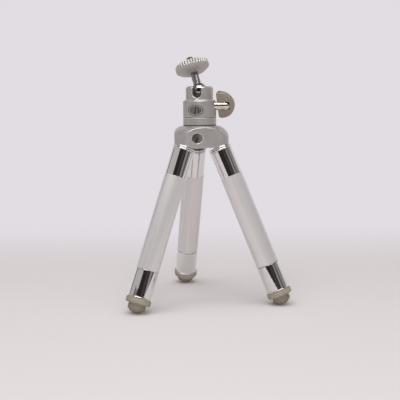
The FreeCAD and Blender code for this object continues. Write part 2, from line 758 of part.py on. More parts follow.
def place_stem(shape):
    """Leans a shape drawn along Z from the ball's centre and sets it in the housing."""
    shape.rotate(V(0, 0, 0), Y_AXIS, LEAN)
    spun(shape, LEAN_AZIMUTH)
    shape.translate(V(0, 0, BALL_Z))
    return shape


def pivot_ball():
    ball = Part.makeSphere(BALL_R)
    return place_stem(ball.cut(rod(STEM_R, STEM_START, BALL_R + OVERRUN)))


def camera_stem():
    """Plain rod from inside the ball, the disc's thread, then the free camera stud."""
    body = turned([
        (0, STEM_START),
        (STEM_R, STEM_START),
        (STEM_R, THREAD_START),
        (THREAD_PITCH_R, THREAD_START),
        (THREAD_PITCH_R, STUD_START),
        (STUD_R, STUD_START),
        (STUD_R, STEM_TIP - STEM_TIP_BEVEL),
        (STUD_R - STEM_TIP_BEVEL, STEM_TIP),
        (0, STEM_TIP),
    ])
    return place_stem(body)


def lock_disc():
    """Ribbed wheel with a bowl-shaped underside."""
    bore = THREAD_PITCH_R + RUN_GAP
    mouth_low = DISC_TOP - DISC_MOUTH_R + bore
    middle = V(DISC_R - DISC_BOWL_IN, 0, DISC_NECK + DISC_BOWL_RISE)
    bowl = Part.Arc(V(DISC_NECK_R, 0, DISC_NECK), middle, V(DISC_R, 0, DISC_RIM_LOW))
    fall = DISC_EDGE * (1 - math.sqrt(0.5))
    edge_top = V(DISC_R - DISC_EDGE, 0, DISC_TOP)
    shoulder = Part.Arc(V(DISC_R, 0, DISC_TOP - DISC_EDGE), V(DISC_R - fall, 0, DISC_TOP - fall), edge_top)
    edges = [
        Part.makeLine(V(DISC_MOUTH_R, 0, DISC_TOP), V(bore, 0, mouth_low)),
        Part.makeLine(V(bore, 0, mouth_low), V(bore, 0, DISC_NECK)),
        Part.makeLine(V(bore, 0, DISC_NECK), V(DISC_NECK_R, 0, DISC_NECK)),
        bowl.toShape(),
        Part.makeLine(V(DISC_R, 0, DISC_RIM_LOW), V(DISC_R, 0, DISC_TOP - DISC_EDGE)),
        shoulder.toShape(),
        Part.makeLine(edge_top, V(DISC_MOUTH_R, 0, DISC_TOP)),
    ]
    body = Part.Face(Part.Wire(edges)).revolve(V(0, 0, 0), Z_AXIS, 360)
    reach = DISC_R + RIB_GROOVE_R - RIB_GROOVE_DEPTH
    grooves = []
    for step in range(RIB_COUNT):
        groove = Part.makeCylinder(RIB_GROOVE_R, DISC_TOP - RIB_LOW + OVERRUN, V(reach, 0, RIB_LOW), Z_AXIS)
        grooves.append(spun(groove, 360.0 * step / RIB_COUNT))
    return place_stem(body.cut(grooves))


def build_head():
    save(head_base(), "head_base")
    save(ball_housing(), "ball_housing")
    save(badge(), "badge")
    save(ball_cup(), "ball_cup")
    save(cup_spring(), "cup_spring")
    save(lift_wedge(), "lift_wedge")
    save(thrust_pin(), "thrust_pin")
    save(clamp_screw(), "clamp_screw")
    save(clamp_knob(), "clamp_knob")
    save(knob_pin(), "knob_pin")
    save(pivot_ball(), "pivot_ball")
    save(camera_stem(), "camera_stem")
    save(lock_disc(), "lock_disc")


os.makedirs("parts", exist_ok=True)
build_legs()
build_hub()
build_head()
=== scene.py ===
"""Pocket camera tripod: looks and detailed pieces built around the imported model.

Lengths are in metres. A leg's own frame has its hinge axis on Y through the origin and the leg running
down -Z; the stem's own frame has the ball's centre at the origin and the stem running up +Z.
"""

from __future__ import annotations

import json
import logging
import math
from dataclasses import dataclass, field, replace
from enum import Enum
from typing import Iterable, Optional, Sequence

import bmesh
import bpy
from mathutils import Matrix, Vector

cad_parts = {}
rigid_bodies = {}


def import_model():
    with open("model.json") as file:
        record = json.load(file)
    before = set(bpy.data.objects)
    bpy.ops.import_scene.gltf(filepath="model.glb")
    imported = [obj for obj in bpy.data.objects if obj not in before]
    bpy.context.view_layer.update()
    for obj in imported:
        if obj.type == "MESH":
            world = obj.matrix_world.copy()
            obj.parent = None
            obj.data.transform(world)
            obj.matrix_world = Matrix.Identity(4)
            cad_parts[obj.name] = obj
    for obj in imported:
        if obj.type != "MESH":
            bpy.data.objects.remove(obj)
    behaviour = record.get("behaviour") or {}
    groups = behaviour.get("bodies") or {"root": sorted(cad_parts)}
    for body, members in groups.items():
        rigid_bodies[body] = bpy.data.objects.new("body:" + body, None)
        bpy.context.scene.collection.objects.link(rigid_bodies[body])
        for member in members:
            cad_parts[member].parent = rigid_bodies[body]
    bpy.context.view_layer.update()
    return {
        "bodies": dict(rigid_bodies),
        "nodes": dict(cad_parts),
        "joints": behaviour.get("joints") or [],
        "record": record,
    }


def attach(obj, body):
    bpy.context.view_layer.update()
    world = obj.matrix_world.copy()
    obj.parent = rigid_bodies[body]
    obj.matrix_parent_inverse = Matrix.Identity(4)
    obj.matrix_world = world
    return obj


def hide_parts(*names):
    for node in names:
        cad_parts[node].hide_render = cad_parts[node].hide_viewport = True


log = logging.getLogger("tripod")

BMesh = bmesh.types.BMesh
Socket = bpy.types.NodeSocket
Triple = tuple[float, float, float]
Pair = tuple[float, float]

MM = 0.001
FULL_TURN = 2.0 * math.pi
POINT_MERGE = 1e-7  # points of a spun profile nearer than this are one point
THREAD_MERGE = 2e-6  # the same for the thread, whose turns meet less exactly


class Leg(Enum):
    """The three legs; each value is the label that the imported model's names start with."""

    REAR = "rear"
    LEFT = "left"
    RIGHT = "right"


@dataclass(frozen=True)
class Axis:
    """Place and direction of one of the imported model's joints, in metres."""

    point: Vector
    line: Vector

    @classmethod
    def of(cls, frame: dict, name: str) -> "Axis":
        """Reads a joint from the record.

        Args:
            frame: The loaded frame.
            name: The joint's name.

        Returns:
            The joint's axis; a slide has its point at the origin.
        """
        joints = {joint["name"]: joint for joint in frame["record"]["behaviour"]["joints"]}
        joint = joints[name]
        return cls(Vector(joint.get("pos_m", (0.0, 0.0, 0.0))), Vector(joint["axis"]).normalized())


def stand(point: Vector, side: Vector, up: Vector) -> Matrix:
    """Transform to the row frame from a frame at point, with its Y along side and its Z along up."""
    turn = Matrix((side.cross(up), side, up)).transposed()
    return Matrix.Translation(point) @ turn.to_4x4()


# Shader helpers


class Nodes:
    """Short way to grow a material's node tree.

    Noise mostly lies in usual_noise. Brushing marks keep a share of along_marks of the scale along them. A
    lightened edge fades over edge_range, the cosine between its rounded and its flat normal; on the cast
    paint this lightening is a painted highlight.
    """

    usual_noise = (0.3, 0.7)
    marks_detail = 3.0
    along_marks = 0.02
    bevel_samples = 6
    edge_range = (0.86, 0.995)

    def __init__(self, name: str) -> None:
        """Starts a material with an output and a principled shader.

        Args:
            name: The material's name.
        """
        self.material = bpy.data.materials.new(name)
        self.material.use_nodes = True
        self.tree = self.material.node_tree
        self.tree.nodes.clear()
        self.output = self.add("ShaderNodeOutputMaterial")
        self.shader = self.add("ShaderNodeBsdfPrincipled")
        self.link(self.shader.outputs["BSDF"], self.output.inputs["Surface"])
        self.coords = self.add("ShaderNodeTexCoord").outputs["Object"]

    def add(self, kind: str, **settings: object) -> bpy.types.Node:
        """Adds one node and sets its plain properties.

        Args:
            kind: The node's type name.
            **settings: Properties to set on the node.

        Returns:
            The new node.
        """
        node = self.tree.nodes.new(kind)
        for name, value in settings.items():
            setattr(node, name, value)
        return node

    def link(self, source: Socket, target: Socket) -> None:
        """Joins an output socket to an input socket."""
        self.tree.links.new(source, target)

    def feed(self, source: Socket, name: str) -> None:
        """Joins an output socket to the shader's input of that name."""
        self.link(source, self.shader.inputs[name])

    def combine(self, operation: str, *values: Socket) -> Socket:
        """Adds one arithmetic node.

        Args:
            operation: The operation's type name.
            *values: Sockets that it reads.

        Returns:
            The result's socket.
        """
        node = self.add("ShaderNodeMath", operation=operation)
        for index, value in enumerate(values):
            self.link(value, node.inputs[index])
        return node.outputs[0]

    def noise(self, scale: float, detail: float = 3.0, stretch: Triple = (1.0, 1.0, 1.0)) -> Socket:
        """Adds noise on object coordinates.

        Args:
            scale: Noise scale per metre.
            detail: Octaves of detail.
            stretch: Factors for the three axes.

        Returns:
            The noise value's socket.
        """
        mapping = self.add("ShaderNodeMapping")
        mapping.inputs["Scale"].default_value = stretch
        self.link(self.coords, mapping.inputs["Vector"])
        noise = self.add("ShaderNodeTexNoise")
        noise.inputs["Scale"].default_value = scale
        noise.inputs["Detail"].default_value = detail
        self.link(mapping.outputs["Vector"], noise.inputs["Vector"])
        return noise.outputs["Fac"]

    def remap(
        self,
        value: Socket,
        low: float,
        high: float,
        start: float = 0.0,
        end: float = 1.0,
        smooth: bool = False,
    ) -> Socket:
        """Maps start..end of a value to low..high.

        Args:
            value: Socket to read.
            low: Result at start.
            high: Result at end.
            start: Lower input limit.
            end: Upper input limit.
            smooth: Whether the ends are eased.

        Returns:
            The mapped value's socket.
        """
        node = self.add("ShaderNodeMapRange", interpolation_type="SMOOTHSTEP" if smooth else "LINEAR")
        for name, number in (("From Min", start), ("From Max", end), ("To Min", low), ("To Max", high)):
            node.inputs[name].default_value = number
        self.link(value, node.inputs["Value"])
        return node.outputs["Result"]

    def spread(self, noise: Socket, low: float = 0.0, high: float = 1.0) -> Socket:
        """Maps the range that a noise value is usually in to low..high."""
        return self.remap(noise, low, high, *self.usual_noise)

    def mix(self, factor: Socket, first: Socket | Triple, second: Socket | Triple) -> Socket:
        """Mixes two colours by a factor.

        Args:
            factor: Socket of the mixing factor.
            first: Colour or colour socket at 0.
            second: Colour or colour socket at 1.

        Returns:
            The mixed colour's socket.
        """
        node = self.add("ShaderNodeMix", data_type="RGBA")
        self.link(factor, node.inputs[0])
        for socket, value in ((node.inputs[6], first), (node.inputs[7], second)):
            if isinstance(value, Socket):
                self.link(value, socket)
            else:
                socket.default_value = (*value, 1.0)
        return node.outputs[2]

    def streaks(self, direction: Vector, scale: float) -> Socket:
        """Adds noise drawn out along a direction, like brushing marks.

        Args:
            direction: Unit vector of the marks in object space.
            scale: Noise scale per metre across the marks.

        Returns:
            The noise value's socket.
        """
        side = direction.orthogonal().normalized()
        place = self.add("ShaderNodeCombineXYZ")
        for index, way in enumerate((side, direction.cross(side), direction * self.along_marks)):
            dot = self.add("ShaderNodeVectorMath", operation="DOT_PRODUCT")
            dot.inputs[1].default_value = way
            self.link(self.coords, dot.inputs[0])
            self.link(dot.outputs["Value"], place.inputs[index])
        noise = self.add("ShaderNodeTexNoise")
        noise.inputs["Scale"].default_value = scale
        noise.inputs["Detail"].default_value = self.marks_detail
        self.link(place.outputs["Vector"], noise.inputs["Vector"])
        return noise.outputs["Fac"]

    def rounded(self, radius: float) -> Socket:
        """Normal that shades edges as if they were rounded.

        Args:
            radius: Radius of the rounding in metres.

        Returns:
            The normal's socket.
        """
        node = self.add("ShaderNodeBevel", samples=self.bevel_samples)
        node.inputs["Radius"].default_value = radius
        return node.outputs["Normal"]

    def edge_mask(self, normal: Socket) -> Socket:
        """Mask that is 1 where a rounded normal leaves the face's own normal.

        Args:
            normal: Socket of the rounded normal.

        Returns:
            The mask's socket.
        """
        flat = self.add("ShaderNodeNewGeometry").outputs["Normal"]
        dot = self.add("ShaderNodeVectorMath", operation="DOT_PRODUCT")
        self.link(normal, dot.inputs[0])
        self.link(flat, dot.inputs[1])
        return self.remap(dot.outputs["Value"], 1.0, 0.0, *self.edge_range)

    def bump(self, height: Socket, strength: float, distance: float, normal: Optional[Socket] = None) -> None:
        """Feeds a height into the shader's normal.

        Args:
            height: Socket of the height.
            strength: Share of the bump that shows.
            distance: Height in metres of a full step.
            normal: Normal to bump; the surface's own if left out.
        """
        node = self.add("ShaderNodeBump")
        node.inputs["Strength"].default_value = strength
        node.inputs["Distance"].default_value = distance
        self.link(height, node.inputs["Height"])
        if normal is not None:
            self.link(normal, node.inputs["Normal"])
        self.feed(node.outputs["Normal"], "Normal")

    def along(self, direction: Vector, start: float, end: float, smooth: bool = False) -> Socket:
        """Turns the place along a direction into 0..1.

        Args:
            direction: Unit vector in object space.
            start: Distance along it that gives 0.
            end: Distance along it that gives 1.
            smooth: Whether the ends are eased.

        Returns:
            The clamped value's socket.
        """
        dot = self.add("ShaderNodeVectorMath", operation="DOT_PRODUCT")
        dot.inputs[1].default_value = direction
        self.link(self.coords, dot.inputs[0])
        return self.remap(dot.outputs["Value"], 0.0, 1.0, start, end, smooth)


# Finishes


@dataclass(frozen=True)
class Finish:
    """A surface finish: name, colours, metal share, roughness range and lightened edges.

    A mesh attribute can say where painted shade darkens the surface, at 1, and where a painted highlight
    lightens it, at -1. A painted shadow line also lies just above the height of a seam, in the gap's shade.
    """

    name: str
    colour: Triple
    shade: Triple
    rough: Pair
    metallic: float = 1.0
    mottle_scale: float = 60.0
    grain_scale: float = 2200.0
    grain_height: float = 0.00001
    grain_strength: float = 0.3
    mottle_detail: float = 4.0
    grain_detail: float = 2.0
    coat: float = 0.0
    coat_rough: float = 0.12
    edge_radius: float = 0.0
    edge_colour: Triple = (0.5, 0.5, 0.5)
    shade_and_highlight: str = ""
    painted_shade_colour: Triple = (0.12, 0.11, 0.105)
    seam_height: Optional[float] = None
    seam_shadow_width: float = 0.9 * MM

    def build(self) -> bpy.types.Material:
        """Makes the procedural material.

        Returns:
            The new material.
        """
        nodes = Nodes(self.name)
        mottle = nodes.noise(self.mottle_scale, self.mottle_detail)
        colour = nodes.mix(nodes.spread(mottle), self.colour, self.shade)
        normal = None
        # Rounded edges are lightened towards edge_colour; on the cast paint this is a painted highlight.
        if self.edge_radius > 0.0:
            normal = nodes.rounded(self.edge_radius)
            colour = nodes.mix(nodes.edge_mask(normal), colour, self.edge_colour)
        # Painted shade where the attribute is above 0, such as in grooves, and a painted highlight where it
        # is below 0, such as on rib crests.
        if self.shade_and_highlight:
            depth = nodes.add("ShaderNodeAttribute", attribute_name=self.shade_and_highlight).outputs["Fac"]
            colour = nodes.mix(nodes.remap(depth, 0.0, 1.0), colour, self.painted_shade_colour)
            colour = nodes.mix(nodes.remap(depth, 1.0, 0.0, -1.0, 0.0), colour, self.edge_colour)
        # Painted shadow: a dark line just above the seam, for the shade in the gap under the part.
        if self.seam_height is not None:
            middle = self.seam_height + self.seam_shadow_width / 2
            above = nodes.along(Vector((0.0, 0.0, 1.0)), middle, self.seam_height + self.seam_shadow_width)
            colour = nodes.mix(above, self.painted_shade_colour, colour)
        nodes.feed(colour, "Base Color")
        nodes.shader.inputs["Metallic"].default_value = self.metallic
        grain = nodes.noise(self.grain_scale, self.grain_detail)
        nodes.feed(nodes.spread(grain, *self.rough), "Roughness")
        nodes.shader.inputs["Coat Weight"].default_value = self.coat
        nodes.shader.inputs["Coat Roughness"].default_value = self.coat_rough
        nodes.bump(grain, self.grain_strength, self.grain_height, normal)
        return nodes.material


@dataclass(frozen=True)
class TubeFinish:
    """Chromed tube whose middle length is satin, with a sharp end to the polish.

    The satin carries fine brushing marks along the tube.
    """

    name: str
    direction: Triple
    polish_end: float
    polished: Triple = (0.80, 0.79, 0.785)
    satin: Triple = (0.745, 0.722, 0.714)
    streak: float = 0.86
    streak_scale: float = 420.0
    streak_height: float = 0.000004
    streak_strength: float = 0.12
    blend: float = 0.05 * MM
    satin_metallic: float = 0.63
    rough: Pair = (0.05, 0.42)

    def build(self) -> bpy.types.Material:
        """Makes the two-zone material.

        Returns:
            The new material.
        """
        nodes = Nodes(self.name)
        down = Vector(self.direction)
        zone = nodes.along(down, self.polish_end - self.blend, self.polish_end + self.blend)
        lines = nodes.streaks(down, self.streak_scale)
        shade = tuple(self.streak * value for value in self.satin)
        satin = nodes.mix(nodes.spread(lines), self.satin, shade)
        nodes.feed(nodes.mix(zone, self.polished, satin), "Base Color")
        nodes.feed(nodes.remap(zone, 1.0, self.satin_metallic), "Metallic")
        nodes.feed(nodes.remap(zone, *self.rough), "Roughness")
        nodes.bump(lines, self.streak_strength, self.streak_height)
        return nodes.material


# Its edge_colour is a painted highlight along the rounded edges.
CAST_PAINT = Finish(
    "cast_paint",
    (0.41, 0.388, 0.37),
    (0.37, 0.35, 0.335),
    metallic=0.5,
    rough=(0.27, 0.36),
    mottle_scale=90.0,
    grain_scale=2600.0,
    grain_height=0.00002,
    edge_radius=0.9 * MM,
    edge_colour=(0.95, 0.925, 0.90),
)
# Colour of the painted shadow line at the castings' seams.
SEAM_SHADOW = (0.05, 0.045, 0.042)
# Painted shade darkens the grooves between the ribs; edge_colour is a painted highlight on their crests.
DISC_PAINT = replace(
    CAST_PAINT,
    name="disc_paint",
    rough=(0.36, 0.45),
    edge_radius=0.0,
    edge_colour=(0.60, 0.58, 0.56),
    shade_and_highlight="groove",
    painted_shade_colour=(0.17, 0.16, 0.155),
)
CHROME = Finish(
    "polished_chrome",
    (0.80, 0.79, 0.78),
    (0.74, 0.73, 0.72),
    rough=(0.05, 0.11),
    mottle_scale=120.0,
    grain_scale=900.0,
    grain_height=0.000002,
    grain_strength=0.1,
)
# Rougher chrome whose colour is darkened as painted shade for the dark room the stem mirrors; darker still in
# the thread's roots.
SHADED_CHROME = replace(
    CHROME,
    name="shaded_chrome",
    colour=(0.35, 0.33, 0.322),
    shade=(0.33, 0.31, 0.302),
    rough=(0.25, 0.28),
    grain_height=0.000001,
    grain_strength=0.02,
    shade_and_highlight="groove",
    painted_shade_colour=(0.10, 0.092, 0.088),
)
# Painted shade: chrome darkened for the dark notch and room that the ball mirrors.
SHADED_BALL_CHROME = replace(
    CHROME, name="shaded_ball_chrome", colour=(0.42, 0.40, 0.39), shade=(0.37, 0.35, 0.34), rough=(0.06, 0.12)
)
NICKEL = replace(
    CHROME, name="polished_nickel", colour=(0.74, 0.70, 0.64), shade=(0.67, 0.63, 0.57), rough=(0.16, 0.24)
)
# Painted shade: steel darkened for the shadow in the hub's recesses that the hinge screws sit in.
SHADED_SCREW_STEEL = replace(
    CHROME,
    name="shaded_screw_steel",
    colour=(0.34, 0.32, 0.31),
    shade=(0.26, 0.245, 0.235),
    mottle_scale=300.0,
    grain_scale=2400.0,
    grain_height=0.000004,
    grain_strength=0.2,
)
ALLOY = Finish(
    "turned_alloy",
    (0.62, 0.62, 0.62),
    (0.54, 0.54, 0.54),
    rough=(0.28, 0.4),
    mottle_scale=150.0,
    grain_scale=3000.0,
    grain_height=0.000005,
    grain_strength=0.2,
)
BRASS = replace(
    ALLOY, name="turned_brass", colour=(0.62, 0.44, 0.17), shade=(0.53, 0.37, 0.14), rough=(0.2, 0.32)
)
STEEL = replace(
    ALLOY,
    name="turned_steel",
    colour=(0.56, 0.555, 0.55),
    shade=(0.46, 0.455, 0.45),
    rough=(0.22, 0.34),
    mottle_scale=200.0,
)
NYLON = Finish(
    "natural_nylon",
    (0.72, 0.70, 0.65),
    (0.66, 0.64, 0.59),
    metallic=0.0,
    rough=(0.4, 0.55),
    mottle_scale=150.0,
    grain_scale=2000.0,
    grain_strength=0.2,
)
BLACK_ACETAL = replace(
    NYLON, name="black_acetal", colour=(0.045, 0.043, 0.042), shade=(0.03, 0.029, 0.028), rough=(0.25, 0.38)
)
WING_PLASTIC = Finish(
    "wing_plastic",
    (0.225, 0.19, 0.15),
    (0.205, 0.172, 0.137),
    metallic=0.0,
    rough=(0.3, 0.42),
    mottle_scale=110.0,
    grain_scale=1800.0,
    grain_strength=0.2,
    coat=0.2,
    edge_radius=0.3 * MM,
    edge_colour=(0.27, 0.235, 0.19),
)


@dataclass(frozen=True)
class FootFinish:
    """Moulded rubber whose tip is darker and greyer than its flange."""

    name: str
    direction: Triple
    flange_end: float
    flange: Triple = (0.285, 0.248, 0.182)
    tip: Triple = (0.195, 0.17, 0.14)
    blend: float = 0.8 * MM
    flange_scuff: float = 0.8
    tip_scuff: float = 0.7
    scuff_scale: float = 260.0
    scuff_detail: float = 4.0
    scuff_share: float = 0.5
    scuff_range: Pair = (0.45, 0.75)
    grain_scale: float = 1500.0
    grain_height: float = 0.00004
    grain_strength: float = 0.5
    rough: Pair = (0.6, 0.8)

    def build(self) -> bpy.types.Material:
        """Makes the two-tone material.

        Returns:
            The new material.
        """
        nodes = Nodes(self.name)
        down = Vector(self.direction)
        zone = nodes.along(down, self.flange_end - self.blend, self.flange_end + self.blend)
        rubbed = nodes.noise(self.scuff_scale, self.scuff_detail)
        scuff = nodes.remap(rubbed, 0.0, self.scuff_share, *self.scuff_range)
        flange = nodes.mix(scuff, self.flange, tuple(self.flange_scuff * value for value in self.flange))
        tip = nodes.mix(scuff, self.tip, tuple(self.tip_scuff * value for value in self.tip))
        nodes.feed(nodes.mix(zone, flange, tip), "Base Color")
        grain = nodes.noise(self.grain_scale)
        nodes.feed(nodes.spread(grain, *self.rough), "Roughness")
        nodes.bump(grain, self.grain_strength, self.grain_height)
        return nodes.material


@dataclass(frozen=True)
class BadgeFinish:
    """Blank oval badge: thin dark rim, pale gap and a dark brushed field."""

    name: str
    centre: Triple
    side: Triple
    half_width: float
    half_height: float
    ink: Triple = (0.04, 0.037, 0.037)
    gap: Triple = (0.31, 0.295, 0.29)
    field_low: Triple = (0.025, 0.023, 0.023)
    field_high: Triple = (0.17, 0.16, 0.16)
    rim_start: float = 0.91
    gap_start: float = 0.76
    border: float = 0.02
    brush_scale: float = 900.0
    brush_detail: float = 2.0
    brush_stretch: Triple = (1.0, 1.0, 0.08)
    brush_range: Pair = (0.35, 0.65)
    brush_height: float = 0.00001
    brush_strength: float = 0.2
    metallic: float = 0.3
    rough: Pair = (0.3, 0.45)

    def build(self) -> bpy.types.Material:
        """Makes the badge's material.

        Returns:
            The new material.
        """
        nodes = Nodes(self.name)
        squares = []
        for way, half in ((Vector(self.side), self.half_width), (Vector((0, 0, 1)), self.half_height)):
            place = way.dot(Vector(self.centre))
            share = nodes.remap(nodes.along(way, place - half, place + half), -1.0, 1.0)
            squares.append(nodes.combine("MULTIPLY", share, share))
        out = nodes.combine("SQRT", nodes.combine("ADD", *squares))
        marks = nodes.noise(self.brush_scale, self.brush_detail, self.brush_stretch)
        brushed = nodes.remap(marks, 0.0, 1.0, *self.brush_range)
        inner = nodes.mix(brushed, self.field_low, self.field_high)
        to_gap = nodes.remap(out, 0.0, 1.0, self.gap_start - self.border, self.gap_start + self.border)
        to_rim = nodes.remap(out, 0.0, 1.0, self.rim_start - self.border, self.rim_start + self.border)
        colour = nodes.mix(to_rim, nodes.mix(to_gap, inner, self.gap), self.ink)
        nodes.feed(colour, "Base Color")
        nodes.shader.inputs["Metallic"].default_value = self.metallic
        nodes.feed(nodes.remap(brushed, *self.rough), "Roughness")
        nodes.bump(brushed, self.brush_strength, self.brush_height)
        return nodes.material


Look = Finish | TubeFinish | FootFinish | BadgeFinish


# Mesh helpers


def finish_mesh(bm: BMesh, name: str, place: Matrix, smooth_angle: float = 35.0) -> bpy.types.Object:
    """Turns a bmesh into an object at the origin, with its place in its mesh.

    Args:
        bm: Mesh to use; it is freed.
        name: Name of the piece.
        place: Transform from the piece's own frame to the row frame.
        smooth_angle: Edges flatter than this many degrees are shaded smooth.

    Returns:
        The new object.
    """
    bmesh.ops.transform(bm, matrix=place, verts=bm.verts)
    bmesh.ops.recalc_face_normals(bm, faces=bm.faces)
    limit = math.radians(smooth_angle)
    for face in bm.faces:
        face.smooth = True
    for edge in bm.edges:
        edge.smooth = len(edge.link_faces) != 2 or edge.calc_face_angle(0.0) < limit
    mesh = bpy.data.meshes.new(name)
    bm.to_mesh(mesh)
    bm.free()
    piece = bpy.data.objects.new(name, mesh)
    bpy.context.scene.collection.objects.link(piece)
    return piece


def lathe(profile: Sequence[Pair], steps: int, closed: bool = True) -> BMesh:
    """Spins a profile of (radius, height) points in metres about Z.

    Args:
        profile: Points of the profile; points on the axis have radius 0.
        steps: Segments round the axis.
        closed: Whether the last point joins the first.

    Returns:
        The spun mesh, its seam and poles merged.
    """
    bm = bmesh.new()
    verts = [bm.verts.new((radius, 0.0, height)) for radius, height in profile]
    pairs = list(zip(verts, verts[1:]))
    if closed:
        pairs.append((verts[-1], verts[0]))
    edges = [bm.edges.new(pair) for pair in pairs]
    bmesh.ops.spin(
        bm, geom=verts + edges, cent=(0, 0, 0), axis=(0, 0, 1), angle=FULL_TURN, steps=steps, use_merge=True
    )
    bmesh.ops.remove_doubles(bm, verts=bm.verts, dist=POINT_MERGE)
    bmesh.ops.dissolve_degenerate(bm, dist=POINT_MERGE, edges=bm.edges)
    return bm


def arc(centre: Pair, radius: float, start: float, end: float, steps: int) -> list[Pair]:
    """Points on an arc in the (radius, height) plane.

    Args:
        centre: Centre of the arc.
        radius: Radius of the arc.
        start: First angle in degrees from the outward direction.
        end: Last angle in degrees.
        steps: Number of segments.

    Returns:
        The points from start to end.
    """
    points = []
    for step in range(steps + 1):
        angle = math.radians(start + (end - start) * step / steps)
        points.append((centre[0] + radius * math.cos(angle), centre[1] + radius * math.sin(angle)))
    return points


def arc_through(first: Pair, middle: Pair, last: Pair, steps: int) -> list[Pair]:
    """Points on the arc through three points of the (radius, height) plane.

    Args:
        first: Start of the arc.
        middle: Any point between.
        last: End of the arc.
        steps: Number of segments.

    Returns:
        The points from first to last.
    """
    (ax, ay), (bx, by), (cx, cy) = first, middle, last
    twice = 2 * (ax * (by - cy) + bx * (cy - ay) + cx * (ay - by))
    a2, b2, c2 = ax * ax + ay * ay, bx * bx + by * by, cx * cx + cy * cy
    centre = (
        (a2 * (by - cy) + b2 * (cy - ay) + c2 * (ay - by)) / twice,
        (a2 * (cx - bx) + b2 * (ax - cx) + c2 * (bx - ax)) / twice,
    )
    start = math.degrees(math.atan2(ay - centre[1], ax - centre[0]))
    end = math.degrees(math.atan2(cy - centre[1], cx - centre[0]))
    return arc(centre, math.hypot(ax - centre[0], ay - centre[1]), start, end, steps)


def dress(piece: bpy.types.Object, material: bpy.types.Material) -> None:
    """Gives a piece one material and no other."""
    piece.data.materials.clear()
    piece.data.materials.append(material)


def seat(
    piece: bpy.types.Object, body: str, material: bpy.types.Material, nodes: Iterable[str]
) -> None:
    """Dresses a new piece, ties it to its body and stands it in for CAD nodes.

    Args:
        piece: The new piece.
        body: Body that carries it.
        material: Material to show.
        nodes: CAD nodes that it replaces.
    """
    dress(piece, material)
    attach(piece, body)
    for node in nodes:
        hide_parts(node)
    log.info("piece %s on %s, %d faces", piece.name, body, len(piece.data.polygons))


# The tripod's parts


@dataclass
class Workshop:
    """All finishes, made once and handed to the parts."""

    frame: dict
    made: dict[str, bpy.types.Material] = field(default_factory=dict)

    def finish(self, look: Look) -> bpy.types.Material:
        """Finds the material of a finish, and makes it the first time.

        Args:
            look: The finish.

        Returns:
            Its material.
        """
        if look.name not in self.made:
            self.made[look.name] = look.build()
        return self.made[look.name]

    def dress_node(self, node: str, look: Look) -> None:
        """Puts a finish on a CAD node that keeps its shape."""
        dress(self.frame["nodes"][node], self.finish(look))
        log.info("node %s wears %s", node, look.name)


